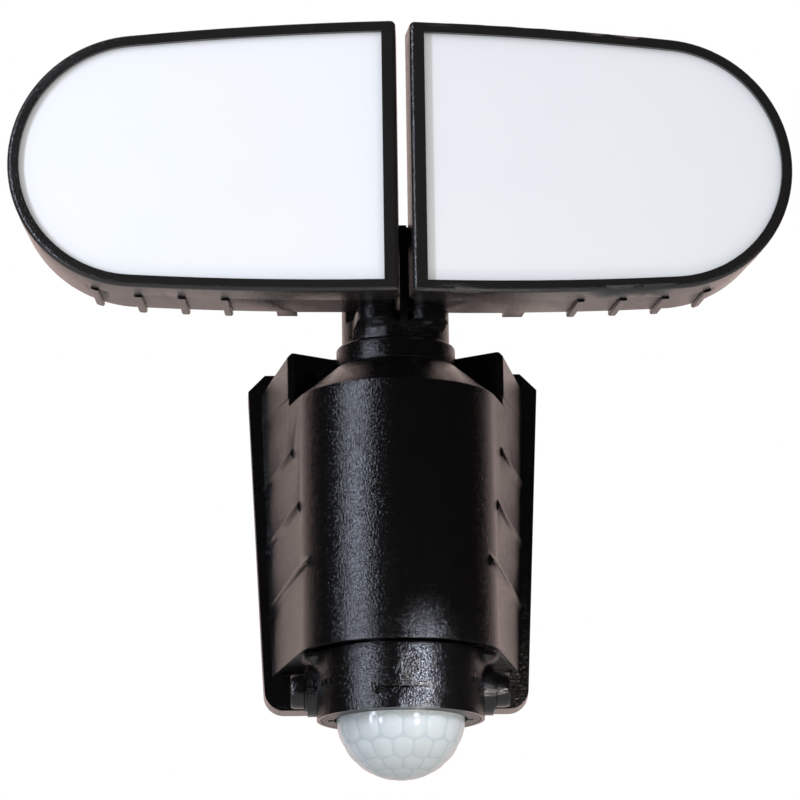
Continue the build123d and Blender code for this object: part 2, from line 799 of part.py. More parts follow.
def make_barrel():
    solid = Pos(0, -axis_out, 0) * revolve(barrel_profile(0), Axis.Z)
    root_x = barrel_inside_radius - dial_boss_root
    step_x = dial_boss_reach + dial_step_height
    boss = side_rod(dial_boss_radius, root_x, dial_boss_reach, dial_out, dial_z)
    boss += side_rod(dial_step_radius, root_x, step_x, dial_out, dial_z)
    solid += boss + mirror(boss, about=Plane.YZ)
    hollow_top = barrel_top_z - barrel_wall
    ring_seat = barrel_foot_z + ring_height + seat_gap
    rebate_radius = barrel_inside_radius + ring_rebate
    solid -= upright_rod(barrel_inside_radius, 0, axis_out, barrel_foot_z, hollow_top)
    solid -= upright_rod(swivel_tube_radius + seat_gap, 0, axis_out, barrel_foot_z, barrel_top_z)
    solid -= upright_rod(rebate_radius, 0, axis_out, barrel_foot_z, ring_seat)
    # flat-bottomed finger notch across the front
    notch_out = axis_out + math.sqrt(barrel_body_radius**2 - notch_half_width**2)
    notch_z = barrel_top_z - notch_drop
    solid -= block(-far, far, notch_out, far, notch_z, notch_z + notch_height)
    solid -= side_rod(dial_stem_radius + pin_gap, -far, far, dial_out, dial_z)
    # posts that carry the sensor board
    reach = barrel_inside_radius - sensor_post_radius + sensor_post_root
    for angle in sensor_post_angles:
        post_x = reach * math.sin(math.radians(angle))
        post_out = axis_out + reach * math.cos(math.radians(angle))
        for x in (-post_x, post_x):
            solid += upright_rod(sensor_post_radius, x, post_out, sensor_board_top_z, hollow_top)
    return solid


def split_barrel(barrel):
    # the right half sits a little lower along the seam in front
    left = barrel & block(-far, 0, 0, far, -far, 0)
    right = barrel & block(0, far, 0, far, -far, 0)
    meet_y = -axis_out - math.sqrt(barrel_body_radius**2 - barrel_seam_width**2)
    seam_y = -axis_out - barrel_body_radius + barrel_seam_step
    corners = [(0, seam_y), (barrel_seam_width, meet_y), (barrel_seam_width, -far), (0, -far)]
    flat = make_face(Polyline(*corners, close=True))
    right -= extrude(Pos(0, 0, barrel_foot_z) * flat, barrel_height - barrel_waist_drop)
    return left, right


def make_swivel_ring():
    # tube that hangs the barrel in the casing floor, with a lip above the floor
    lip_low_z = shell_inside_z + running_gap
    lip_high_z = lip_low_z + swivel_lip_height
    low_z = barrel_top_z - 2 * barrel_wall
    ring = upright_rod(swivel_tube_radius, 0, axis_out, low_z, lip_low_z)
    ring += upright_rod(swivel_lip_radius, 0, axis_out, lip_low_z, lip_high_z)
    ring += upright_rod(swivel_lip_radius, 0, axis_out, low_z, low_z + barrel_wall - seat_gap)
    return ring - upright_rod(swivel_tube_radius - swivel_tube_wall, 0, axis_out, low_z, lip_high_z)


def make_dome_lens():
    flange_z = barrel_foot_z + ring_height + seat_gap
    flange_top_z = flange_z + lens_flange_height
    inside_radius = lens_radius - lens_wall
    ball = Pos(0, -axis_out, dome_centre_z) * (Sphere(lens_radius) - Sphere(inside_radius))
    lens = ball & block(-far, far, 0, far, -far, dome_centre_z)
    lens += upright_rod(lens_radius, 0, axis_out, dome_centre_z, flange_z)
    lens += upright_rod(lens_flange_radius, 0, axis_out, flange_z, flange_top_z)
    return lens - upright_rod(inside_radius, 0, axis_out, dome_centre_z, flange_top_z)


def make_lens_ring():
    top_z = barrel_foot_z + ring_height
    ring = upright_rod(ring_outer_radius, 0, axis_out, barrel_foot_z, top_z)
    ring -= upright_rod(ring_inner_radius, 0, axis_out, barrel_foot_z, top_z)
    half = ring_notch_width / 2
    reach = ring_inner_radius + ring_notch_depth
    notch_top_z = barrel_foot_z + ring_height / 2
    return ring - block(-reach, reach, axis_out - half, axis_out + half, barrel_foot_z, notch_top_z)


def make_dial():
    # right dial: domed knob with a coin slot, stem through the barrel boss
    outer_x = dial_inner_x + dial_thickness
    knob = side_rod(dial_radius, dial_inner_x, outer_x, dial_out, dial_z)
    knob = chamfer(knob.edges().group_by(Axis.X)[-1], dial_dome, dial_dome / 2)
    knob += side_rod(dial_stem_radius, dial_stem_start, dial_inner_x, dial_out, dial_z)
    half = dial_slot_width / 2
    slot_x = outer_x - dial_slot_depth
    slot_low_z = dial_z - dial_slot_overrun
    return knob - block(slot_x, outer_x, dial_out - half, dial_out + half, slot_low_z, far)


def make_sensor_board():
    # round board with a potentiometer behind each dial
    top_z = sensor_board_top_z
    radius = barrel_inside_radius - seat_gap
    board = upright_rod(radius, 0, axis_out, top_z - board_thickness, top_z)
    half = potentiometer_width / 2
    outer_x = dial_stem_start - seat_gap
    inner_x = dial_stem_start - potentiometer_depth
    body = block(inner_x, outer_x, dial_out - half, dial_out + half, top_z, dial_z + half)
    return board + body + mirror(body, about=Plane.YZ)


def make_motion_detector():
    # small metal can under the board, looking down into the dome
    top_z = sensor_board_top_z - board_thickness
    can = upright_rod(detector_can_radius, 0, axis_out, top_z - detector_can_height, top_z)
    rim_radius = detector_can_radius + detector_rim
    return can + upright_rod(rim_radius, 0, axis_out, top_z - detector_rim, top_z)


# ---------------------------------------------------------------- parts inside the casing

def cell_places():
    pitch = 2 * (cell_radius + cell_gap)
    for number in range(cell_count):
        yield (number - (cell_count - 1) / 2) * pitch


def make_battery_cells():
    cells = Part()
    high_z = cell_low_z + cell_length
    for x in cell_places():
        cells += upright_rod(cell_radius, x, cell_out, cell_low_z, high_z)
        cells += upright_rod(cell_tip_radius, x, cell_out, high_z, high_z + cell_tip_height)
    return cells


def make_battery_cradle():
    # open tray behind and under the cells, standing on the casing floor
    width = cell_count * (cell_radius + cell_gap) + cradle_wall
    rear_out = cell_out - cell_radius - seat_gap - cradle_wall
    back_out = rear_out + cradle_wall
    shelf_out = cell_out + cradle_shelf_reach
    low_z = cell_low_z - seat_gap - cradle_wall
    cradle = block(-width, width, rear_out, back_out, low_z, cell_low_z + cell_length)
    cradle += block(-width, width, rear_out, shelf_out, low_z, low_z + cradle_wall)
    leg_x = swivel_lip_radius + leg_gap
    leg = block(leg_x, width, rear_out, rear_out + cradle_leg_depth, shell_inside_z, low_z)
    return cradle + leg + mirror(leg, about=Plane.YZ)


def make_control_board():
    # upper half: capacitor on the left, coil on the right; lower half: chip and relay
    half = control_board_width / 2
    front = control_board_out + board_thickness
    high_z = control_board_low_z + control_board_height
    board = block(-half, half, control_board_out, front, control_board_low_z, high_z)
    upper_z = control_board_low_z + 0.75 * control_board_height
    lower_z = control_board_low_z + 0.3 * control_board_height
    board += out_rod(capacitor_radius, -half / 2, upper_z, front, front + capacitor_height)
    board += out_rod(coil_radius, half / 4, upper_z, front, front + coil_height)
    chip = Box(chip_size, chip_height, chip_size, align=(Align.CENTER, Align.MAX, Align.CENTER))
    relay = Box(relay_size, relay_height, relay_size, align=(Align.CENTER, Align.MAX, Align.CENTER))
    board += Pos(-half / 2, -front, lower_z) * chip
    return board + Pos(half / 2, -front, lower_z) * relay


def make_board_posts():
    # behind the board's four corners
    posts = Part()
    x = control_board_width / 2 - board_post_inset
    low_z = control_board_low_z + board_post_inset
    high_z = control_board_low_z + control_board_height - board_post_inset
    for z in (low_z, high_z):
        for post_x in (-x, x):
            posts += out_rod(board_post_radius, post_x, z, rear_cover_front_out, control_board_out)
    return posts


def make_cable_grommet():
    tail_out = rear_cover_front_out + grommet_tail
    flange_radius = cable_hole_radius + grommet_flange_width
    grommet = out_rod(cable_hole_radius - seat_gap, 0, cable_hole_z, 0, tail_out)
    grommet += out_rod(flange_radius, 0, cable_hole_z, plate_floor, plate_depth - seat_gap)
    return grommet - out_rod(cable_radius, 0, cable_hole_z, 0, tail_out)


# ---------------------------------------------------------------- write the parts

os.makedirs("parts", exist_ok=True)

save(make_wall_plate(), "wall_plate", "dimgray")
save(make_rear_cover() + make_board_posts(), "rear_cover", "slategray")
save(make_front_shell(), "front_shell", "gray")
save(make_shoulder_cap(), "shoulder_cap", "darkgray")
save(make_case_screws(), "case_screws", "silver")
save(make_cable_grommet(), "cable_grommet", "black")
save(make_battery_cells(), "battery_cells", "steelblue")
save(make_battery_cradle(), "battery_cradle", "goldenrod")
save(make_control_board(), "control_board", "green")

save(make_collar(), "neck_collar", "lightgray")
save(panned(make_turret()), "neck_turret", "firebrick")
save(make_neck_washer(), "neck_washer", "gold")
save(make_neck_nut(), "neck_nut", "orange")
save_head_pair(make_hinge_pin(), "hinge_pin", "silver")
save_head_pair(make_hinge_washer(), "hinge_washer", "gold")

save_head_pair(make_bezel(), "bezel", "dimgray")
save_head_pair(make_diffuser(), "diffuser", "white")
save_head_pair(make_lamp_gasket(), "lamp_gasket", "red")
save_head_pair(make_reflector_tray(), "reflector_tray", "ivory")
save_head_pair(make_led_board(), "led_board", "green")
save_head_pair(make_rear_housing(), "rear_housing", "gray")
save_head_pair(make_lamp_screws(), "lamp_screws", "silver")

left_half, right_half = split_barrel(make_barrel())
save(left_half, "left_barrel_half", "darkslategray")
save(right_half, "right_barrel_half", "slategray")
save(make_swivel_ring(), "sensor_swivel_ring", "orange")
save(make_dome_lens(), "dome_lens", "lightblue")
save(make_lens_ring(), "lens_ring", "gray")
save(make_sensor_board(), "sensor_board", "green")
save(make_motion_detector(), "motion_detector", "silver")
save_pair(make_dial(), "dial", "crimson")
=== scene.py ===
import json
import math

import bmesh
import bpy
from mathutils import Euler, Matrix, Vector


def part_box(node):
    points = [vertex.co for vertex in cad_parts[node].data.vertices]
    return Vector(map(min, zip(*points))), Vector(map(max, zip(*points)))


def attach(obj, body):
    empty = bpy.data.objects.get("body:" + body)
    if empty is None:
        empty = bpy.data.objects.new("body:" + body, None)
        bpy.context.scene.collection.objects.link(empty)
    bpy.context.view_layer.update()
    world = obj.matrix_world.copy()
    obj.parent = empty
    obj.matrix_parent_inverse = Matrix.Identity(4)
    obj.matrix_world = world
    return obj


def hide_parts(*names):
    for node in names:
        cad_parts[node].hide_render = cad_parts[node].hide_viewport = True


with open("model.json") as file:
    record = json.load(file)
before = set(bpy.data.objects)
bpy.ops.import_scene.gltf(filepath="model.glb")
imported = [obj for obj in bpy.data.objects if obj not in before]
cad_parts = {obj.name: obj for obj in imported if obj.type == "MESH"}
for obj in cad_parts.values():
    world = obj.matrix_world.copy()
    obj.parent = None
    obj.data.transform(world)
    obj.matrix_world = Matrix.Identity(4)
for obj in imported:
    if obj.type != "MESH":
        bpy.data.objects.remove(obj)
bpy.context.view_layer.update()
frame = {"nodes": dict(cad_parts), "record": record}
scene = bpy.context.scene
nodes = frame["nodes"]
mm = 0.001
print("frame loaded:", len(nodes), "nodes")

bodyOfNode = {}
for bodyName, members in frame["record"]["behaviour"]["bodies"].items():
    for member in members:
        bodyOfNode[member] = bodyName
slotOfNode = {part["node"]: part["material_slot"] for part in frame["record"]["subparts"]}


# colour and node helpers

def linear(hexText):
    # sRGB hex to the linear colour that the shader wants
    values = [int(hexText[i:i + 2], 16) / 255 for i in (1, 3, 5)]
    return [v / 12.92 if v <= 0.04045 else ((v + 0.055) / 1.055) ** 2.4 for v in values] + [1.0]


def addNode(tree, kind, settings=None, links=None):
    # adds one node; settings fill its properties or sockets, links feed its sockets, by name or by number
    node = tree.nodes.new(kind)
    for key, value in (settings or {}).items():
        if isinstance(key, str) and hasattr(node, key) and key not in node.inputs:
            setattr(node, key, value)
        else:
            node.inputs[key].default_value = value
    for key, source in (links or {}).items():
        tree.links.new(source, node.inputs[key])
    return node


def newMaterial(name, shaderSettings):
    material = bpy.data.materials.new(name)
    material.use_nodes = True
    tree = material.node_tree
    shader = tree.nodes["Principled BSDF"]
    for key, value in shaderSettings.items():
        shader.inputs[key].default_value = value
    place = addNode(tree, "ShaderNodeTexCoord").outputs["Object"]
    return material, tree, shader, place


# materials, each with its own settings

blackAbs = {
    "colours": ("#060606", "#0B0A0A"),
    "bezelSheenColours": ("#1E1D1C", "#252322"),  # painted sheen: the bezels are a shade greyer, standing in for the light their sloping borders catch
    "roughness": 0.18,
    "ior": 1.54,
    "grainMm": 0.62,  # real pits are 0.2 mm across; drawn coarser so that they show in the picture
    "grainDepthMm": 0.21,
    "patchMm": 9.0,
}


def makeSparkErodedAbs(name, colour, patchColour):
    # ABS moulded in a spark-eroded tool: a fine pebble grain that breaks a highlight into sparks
    material, tree, shader, place = newMaterial(name, {
        "Roughness": blackAbs["roughness"], "IOR": blackAbs["ior"],
    })
    grain = addNode(tree, "ShaderNodeTexNoise", {"Scale": 1 / (blackAbs["grainMm"] * mm), "Detail": 1.0},
                    {"Vector": place})
    patches = addNode(tree, "ShaderNodeTexNoise", {"Scale": 1 / (blackAbs["patchMm"] * mm), "Detail": 3.0},
                      {"Vector": place})
    tint = addNode(tree, "ShaderNodeMix", {
        "data_type": "RGBA", "A": linear(colour), "B": linear(patchColour),
    }, {"Factor": patches.outputs["Fac"]})
    bump = addNode(tree, "ShaderNodeBump", {"Strength": 1.0, "Distance": blackAbs["grainDepthMm"] * mm},
                   {"Height": grain.outputs["Fac"]})
    tree.links.new(tint.outputs["Result"], shader.inputs["Base Color"])
    tree.links.new(bump.outputs["Normal"], shader.inputs["Normal"])
    return material


satinAbs = {
    "colour": "#0A0A0B",
    "ior": 1.54,
    "smudgeMm": 6.0,  # size of the areas that handling has dulled
    "roughness": (0.3, 0.44),
}


def makeSatinAbs():
    # smooth moulded ABS on turned and sliding pieces: a soft even sheen
    material, tree, shader, place = newMaterial("abs_black_satin", {
        "Base Color": linear(satinAbs["colour"]), "IOR": satinAbs["ior"],
    })
    smudge = addNode(tree, "ShaderNodeTexNoise", {"Scale": 1 / (satinAbs["smudgeMm"] * mm), "Detail": 4.0},
                     {"Vector": place})
    low, high = satinAbs["roughness"]
    spread = addNode(tree, "ShaderNodeMapRange", {"To Min": low, "To Max": high},
                     {"Value": smudge.outputs["Fac"]})
    tree.links.new(spread.outputs["Result"], shader.inputs["Roughness"])
    return material


opalAcrylic = {
    "colours": ("#F6F8F9", "#FAFAFA"),
    "roughness": 0.42,
    "ior": 1.49,
    "cloudMm": 30.0,
    "frostMm": 0.4,  # real frosting is finer; drawn as coarse as it needs to show
    "frostDepthMm": 0.01,
}


def makeOpalAcrylic():
    # opal acrylic with a matt skin: lamp light leaves it without a visible source
    material, tree, shader, place = newMaterial("acrylic_opal_matt", {
        "Roughness": opalAcrylic["roughness"], "IOR": opalAcrylic["ior"],
    })
    cloud = addNode(tree, "ShaderNodeTexNoise", {"Scale": 1 / (opalAcrylic["cloudMm"] * mm), "Detail": 2.0},
                    {"Vector": place})
    colour, cloudColour = opalAcrylic["colours"]
    tint = addNode(tree, "ShaderNodeMix", {
        "data_type": "RGBA", "A": linear(colour), "B": linear(cloudColour),
    }, {"Factor": cloud.outputs["Fac"]})
    frost = addNode(tree, "ShaderNodeTexNoise", {"Scale": 1 / (opalAcrylic["frostMm"] * mm), "Detail": 2.0},
                    {"Vector": place})
    bump = addNode(tree, "ShaderNodeBump", {"Strength": 0.6, "Distance": opalAcrylic["frostDepthMm"] * mm},
                   {"Height": frost.outputs["Fac"]})
    tree.links.new(tint.outputs["Result"], shader.inputs["Base Color"])
    tree.links.new(bump.outputs["Normal"], shader.inputs["Normal"])
    return material


milkyPolythene = {
    "colours": ("#B1B8B9", "#BABFC0"),
    # painted shade for the furrows between the cells
    "grooveShadeColour": "#A4AEB2",
    "roughness": 0.14,
    "ior": 1.54,
    "soak": 0.2,  # share of the light that soaks in
    "soakMm": 1.0,
    "flowMm": 7.0,
}


def makeMilkyPolythene():
    # thin milky polythene, injection moulded: cool grey-white with light soaking into it
    material, tree, shader, place = newMaterial("hdpe_milky_moulded", {
        "Roughness": milkyPolythene["roughness"], "IOR": milkyPolythene["ior"],
        "Subsurface Weight": milkyPolythene["soak"], "Subsurface Scale": milkyPolythene["soakMm"] * mm,
        "Subsurface Radius": (1.0, 1.0, 1.0),
    })
    flow = addNode(tree, "ShaderNodeTexNoise", {"Scale": 1 / (milkyPolythene["flowMm"] * mm), "Detail": 3.0},
                   {"Vector": place})
    colour, flowColour = milkyPolythene["colours"]
    tint = addNode(tree, "ShaderNodeMix", {
        "data_type": "RGBA", "A": linear(colour), "B": linear(flowColour),
    }, {"Factor": flow.outputs["Fac"]})
    # painted shade: a cell's edges are tinted greyer, standing in for the shade in the furrows between the
    # cells
    grooves = addNode(tree, "ShaderNodeAttribute", {"attribute_name": "groove"})
    grooveShaded = addNode(tree, "ShaderNodeMix", {
        "data_type": "RGBA", "B": linear(milkyPolythene["grooveShadeColour"]),
    }, {"Factor": grooves.outputs["Fac"], "A": tint.outputs["Result"]})
    tree.links.new(grooveShaded.outputs["Result"], shader.inputs["Base Color"])
    return material


zincSteel = {
    "colour": "#B9BBBD",
    "hazeMm": 0.8,
    "roughness": (0.25, 0.4),
}


def makeZincSteel():
    # zinc plated steel: bright with a faint turned haze
    material, tree, shader, place = newMaterial("steel_zinc_plated", {
        "Base Color": linear(zincSteel["colour"]), "Metallic": 1.0,
    })
    haze = addNode(tree, "ShaderNodeTexNoise", {"Scale": 1 / (zincSteel["hazeMm"] * mm), "Detail": 3.0},
                   {"Vector": place})
    low, high = zincSteel["roughness"]
    spread = addNode(tree, "ShaderNodeMapRange", {"To Min": low, "To Max": high},
                     {"Value": haze.outputs["Fac"]})
    tree.links.new(spread.outputs["Result"], shader.inputs["Roughness"])
    return material


plainMouldings = {
    # slot: material, colour, roughness, grain in mm
    "reflector_white": ("polycarbonate_white_gloss", "#EDEDEA", 0.2, 0.5),
    "seal_rubber": ("rubber_black_moulded", "#1A1A1A", 0.75, 0.4),
    "board_green": ("solder_mask_green", "#1E5B33", 0.35, 0.3),
    "cell_sleeve": ("pvc_shrink_sleeve_blue", "#2A4E86", 0.3, 2.0),
}


def makePlainMoulding(name, colour, roughness, grainMm):
    # moulded, coated or sleeved pieces inside the light, with a faint grain
    material, tree, shader, place = newMaterial(name, {"Base Color": linear(colour), "Roughness": roughness})
    grain = addNode(tree, "ShaderNodeTexNoise", {"Scale": 1 / (grainMm * mm), "Detail": 2.0},
                    {"Vector": place})
    bump = addNode(tree, "ShaderNodeBump", {"Strength": 0.5, "Distance": 0.02 * mm},
                   {"Height": grain.outputs["Fac"]})
    tree.links.new(bump.outputs["Normal"], shader.inputs["Normal"])
    return material


materialOfSlot = {
    "textured_black": makeSparkErodedAbs("abs_black_spark_eroded", *blackAbs["colours"]),
    "smooth_black": makeSatinAbs(),
    "diffuser_white": makeOpalAcrylic(),
    "dome_white": makeMilkyPolythene(),
    "screw_steel": makeZincSteel(),
}
for slotName, moulding in plainMouldings.items():
    materialOfSlot[slotName] = makePlainMoulding(*moulding)
# a greyer copy of the black ABS for the bezels: painted sheen
bezelSheenAbs = makeSparkErodedAbs("abs_black_painted_sheen", *blackAbs["bezelSheenColours"])
print("materials made:", len(materialOfSlot) + 1)


# pieces

touching = 0.01 * mm  # points closer than this count as in one place


def finishPiece(piece, material, body, replaced=()):
    # gives a new piece its material, the body it moves with, and the CAD nodes it stands for
    piece.data.materials.clear()
    piece.data.materials.append(material)
    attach(piece, body)
    if replaced:
        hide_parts(*replaced)
    return piece


def pieceFromBmesh(name, mesh, smoothAngle=40):
    data = bpy.data.meshes.new(name)
    mesh.to_mesh(data)
    mesh.free()
    for face in data.polygons:
        face.use_smooth = True
    data.set_sharp_from_angle(angle=math.radians(smoothAngle))
    piece = bpy.data.objects.new(name, data)
    scene.collection.objects.link(piece)
    return piece


plateBorder = {
    "slope": 4.2 * mm,  # how far the CAD plate's front is set in
    "squareShare": 0.93,  # how much of that becomes a flat front border
    "cornerX": 43.1 * mm,  # middle of the round corners at the bottom
    "cornerZ": -60.0 * mm,
    "backRadius": 8.2 * mm,
    "cornerSlack": 0.5 * mm,  # how far from the round corner a point may be to move with it
}


def squarePlateBorder(mesh):
    # front edge of the plate moves out along its slope, so that its border faces forward;
    # the round corners at the bottom move out with the straight sides
    back = max(vert.co.y for vert in mesh.verts)
    front = min(vert.co.y for vert in mesh.verts)
    atBack = back - touching
    moves = []
    for vert in mesh.verts:
        depth = (back - vert.co.y) / (back - front)
        arm = Vector((vert.co.x - math.copysign(plateBorder["cornerX"], vert.co.x), 0,
                      vert.co.z - plateBorder["cornerZ"]))
        cornerRadius = plateBorder["backRadius"] - plateBorder["slope"] * depth
        onCorner = abs(arm.length - cornerRadius) < plateBorder["cornerSlack"]
        if onCorner and arm.z < 0 and arm.x * vert.co.x > 0:
            moves.append((vert, arm.normalized() * plateBorder["slope"] * depth))
            continue
        sideFaces = [face for face in vert.link_faces if any(v.co.y > atBack for v in face.verts)]
        if vert.co.y > front + touching or not sideFaces:
            continue
        ends = [edge.other_vert(vert).co for edge in vert.link_edges]
        ends = [end for end in ends if end.y > atBack]
        if ends:
            end = min(ends, key=lambda point: (point - vert.co).length)
            moves.append((vert, Vector((end.x - vert.co.x, 0, end.z - vert.co.z))))
    for vert, move in moves:
        vert.co += move * plateBorder["squareShare"]
    print("plate border points moved:", len(moves))


barrelFront = {
    "axisY": -58.0 * mm,
    "bodyRadius": 31.6 * mm,
    "plainTo": 64.0,  # degrees either side of the front without a flare
    "flareFrom": 84.0,  # degrees from the front at which the whole flare stands
    "seamStep": 0.25 * mm,
    "seamDepths": (0.5 * mm, 1.2 * mm),  # where the CAD seam's floor lies, in from the surface
    "seamHalfWidth": 0.05 * mm,
}


def plainBarrelFront(mesh):
    # the flare under the casing fades out round the front, and the seam keeps only a small step
    body, axisY = barrelFront["bodyRadius"], barrelFront["axisY"]
    shallow, deep = barrelFront["seamDepths"]
    span = barrelFront["flareFrom"] - barrelFront["plainTo"]
    moved = 0
    for vert in mesh.verts:
        x, y = vert.co.x, vert.co.y - axisY
        radius = math.hypot(x, y)
        away = abs(math.degrees(math.atan2(x, -y)))
        if radius > body + 2 * touching and away < barrelFront["flareFrom"]:
            share = max(0.0, (away - barrelFront["plainTo"]) / span)
            share = share * share * (3 - 2 * share)
            newRadius = body + (radius - body) * share
            vert.co.x, vert.co.y = x * newRadius / radius, y * newRadius / radius + axisY
            moved += 1
        elif abs(x) < barrelFront["seamHalfWidth"] and body - deep < -y < body - shallow:
            vert.co.y = axisY - body + barrelFront["seamStep"]
            moved += 1
    print("barrel front points moved:", moved)


sideRidges = {
    "fronts": ((57.0, 23.5), (66.0, 1.0), (76.0, -22.0)),  # where each starts: mm out from the wall, mm up
    "fall": 6.0,  # degrees
    "halfWidth": 1.5,  # widths in mm
    "crestHalfWidth": 0.7,
    "footHalfWidth": 2.4,
    "slack": 0.12,
    "sideFrom": 30.0,  # mm from the middle of the casing
    "foldAngle": 0.35,  # radians; a sharper inward fold is a ridge's foot
}


def softenRidges(mesh):
    # square ridges on the casing's sides get sloping flanks
    slope = math.radians(sideRidges["fall"])
    moves = []
    for vert in mesh.verts:
        out, up = -vert.co.y / mm, vert.co.z / mm
        for frontOut, frontUp in sideRidges["fronts"]:
            off = (up - frontUp) * math.cos(slope) + (frontOut - out) * math.sin(slope)
            onFlank = abs(abs(off) - sideRidges["halfWidth"]) < sideRidges["slack"]
            if onFlank and out < frontOut + 1 and abs(vert.co.x) > sideRidges["sideFrom"] * mm:
                edges = [edge for edge in vert.link_edges if len(edge.link_faces) == 2]
                inFold = any(edge.calc_face_angle_signed() < -sideRidges["foldAngle"] for edge in edges)
                wanted = sideRidges["footHalfWidth"] if inFold else sideRidges["crestHalfWidth"]
                moves.append((vert, (math.copysign(wanted, off) - off) * mm))
    for vert, move in moves:
        vert.co += Vector((0, math.sin(slope) * move, math.cos(slope) * move))
    print("ridge points moved:", len(moves))


mouldedEdges = {
    # radius in mm of each piece's edges
    "radiusMm": {
        "wall_plate": 0.5, "front_shell": 0.35, "shoulder_cap": 0.5, "neck_collar": 0.3,
        "neck_turret": 0.4, "left_bezel": 0.5, "right_bezel": 0.5, "left_rear_housing": 0.4,
        "right_rear_housing": 0.4, "left_barrel_half": 0.2, "right_barrel_half": 0.2, "lens_ring": 0.3,
        "left_dial": 0.25, "right_dial": 0.25,
    },
    "segments": 3,
    "sharpFrom": 35.0,  # degrees between two faces whose edge gets a radius
    "merge": 0.002 * mm,
    "flatTo": 0.4,  # degrees; flatter neighbours become one face
    "rimFlatTo": 0.03,  # the bezels' long shallow curves keep all their facets
}
# the bezels take the black ABS copy with painted sheen
otherMaterial = {
    "neck_collar": materialOfSlot["textured_black"], "left_bezel": bezelSheenAbs, "right_bezel": bezelSheenAbs,
}
reshapes = {
    "wall_plate": squarePlateBorder, "front_shell": softenRidges,
    "left_barrel_half": plainBarrelFront, "right_barrel_half": plainBarrelFront,
}


def softenedCopy(node, radius):
    # merged copy of a CAD node whose sharp edges get the moulded radius
    mesh = bmesh.new()
    mesh.from_mesh(nodes[node].data)
    bmesh.ops.remove_doubles(mesh, verts=mesh.verts, dist=mouldedEdges["merge"])
    flatTo = mouldedEdges["rimFlatTo"] if node.endswith("_bezel") else mouldedEdges["flatTo"]
    bmesh.ops.dissolve_limit(mesh, angle_limit=math.radians(flatTo), verts=mesh.verts, edges=mesh.edges)
    if node in reshapes:
        reshapes[node](mesh)
    piece = pieceFromBmesh(node + "_moulded", mesh)
    bevel = piece.modifiers.new("moulded radius", "BEVEL")
    bevel.width = radius
    bevel.segments = mouldedEdges["segments"]
    bevel.limit_method = "ANGLE"
    bevel.angle_limit = math.radians(mouldedEdges["sharpFrom"])
    bevel.harden_normals = True
    bevel.miter_outer = "MITER_ARC"
    material = otherMaterial.get(node, materialOfSlot[slotOfNode[node]])
    return finishPiece(piece, material, bodyOfNode[node], [node])


for node, radiusMm in mouldedEdges["radiusMm"].items():
    softenedCopy(node, radiusMm * mm)
for node, holder in nodes.items():
    if node not in mouldedEdges["radiusMm"]:
        holder.data.materials.clear()
        holder.data.materials.append(materialOfSlot[slotOfNode[node]])
print("moulded pieces:", len(mouldedEdges["radiusMm"]))


# dome lens: rows of shallow round lens cells on the outside of the dome

domeLens = {
    "radius": 24.4 * mm,
    "wall": 1.3 * mm,
    "flangeHeight": 1.4 * mm,
    "cellCurve": 13.5 * mm,  # radius of each little lens
    "cellReach": 11.8,  # degrees from a cell's middle to its round edge
    # each row: degrees down, number of cells, turn of the row in cells
    "rows": ((17.5, 16, 0.5), (39.5, 16, 0.0), (55.0, 12, 0.5), (70.5, 8, 0.0), (90.0, 1, 0.0)),
    "steps": 288,
    "arcSteps": 88,  # on the outside; the plain inside has a quarter of them
    "edgeWidth": 1.3,  # degrees of painted shade at a cell's edge
}


def cellHeight(angle):
    # distance from the dome's middle to the surface of a cell, at an angle from the cell's own middle
    back = domeLens["radius"] - domeLens["cellCurve"]
    return back * math.cos(angle) + math.sqrt(domeLens["cellCurve"] ** 2 - (back * math.sin(angle)) ** 2)


def makeDomeLens():
    low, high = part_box("dome_lens")
    middle = Vector(((low[0] + high[0]) / 2, (low[1] + high[1]) / 2, low[2] + domeLens["radius"]))
    flangeRadius = (high[0] - low[0]) / 2
    outer = domeLens["radius"]
    inner = outer - domeLens["wall"]
    flangeLow = high[2] - domeLens["flangeHeight"]
    quarter = [math.radians(90 * step / domeLens["arcSteps"]) for step in range(domeLens["arcSteps"] + 1)]
    profile = [(inner * math.sin(a), middle.z - inner * math.cos(a)) for a in quarter[::4]]
    profile += [(inner, high[2]), (flangeRadius, high[2]), (flangeRadius, flangeLow), (outer, flangeLow)]
    profile += [(outer * math.sin(a), middle.z - outer * math.cos(a)) for a in reversed(quarter)]
    mesh = bmesh.new()
    line = [mesh.verts.new((middle.x + radius, middle.y, z)) for radius, z in profile]
    edges = [mesh.edges.new(pair) for pair in zip(line, line[1:])]
    bmesh.ops.spin(mesh, geom=line + edges, cent=middle, axis=(0, 0, 1), angle=2 * math.pi,
                   steps=domeLens["steps"], use_merge=True)
    bmesh.ops.remove_doubles(mesh, verts=mesh.verts, dist=touching)
    bmesh.ops.recalc_face_normals(mesh, faces=mesh.faces)
    cells = []
    for down, count, turn in domeLens["rows"]:
        for number in range(count):
            across = Matrix.Rotation(2 * math.pi * (number + turn) / count, 3, "Z")
            drop = Matrix.Rotation(math.radians(down), 3, "X")
            cells.append(across @ drop @ Vector((0, -1, 0)))
    reach = math.radians(domeLens["cellReach"])
    ground = cellHeight(reach)
    edgeWidth = math.radians(domeLens["edgeWidth"])
    # painted shade: how close each point lies to a cell's edge, which the material tints greyer
    groove = mesh.verts.layers.float.new("groove")
    for vert in mesh.verts:
        arm = vert.co - middle
        if arm.z < -10 * touching and arm.length > outer - 10 * touching:
            way = arm.normalized()
            nearest, second = sorted(math.acos(min(way.dot(cell), 1.0)) for cell in cells)[:2]
            vert.co = middle + way * max(ground, cellHeight(nearest))
            toEdge = min((second - nearest) / 2, abs(reach - nearest))
            vert[groove] = max(0.0, 1.0 - toEdge / edgeWidth)
    piece = pieceFromBmesh("dome_lens_cells", mesh, smoothAngle=60)
    return finishPiece(piece, materialOfSlot["dome_white"], "sensor", ["dome_lens"])


makeDomeLens()
print("dome lens made")


# raised marks in the moulding: a pointer on the casing, one on the barrel, ticks by the dials

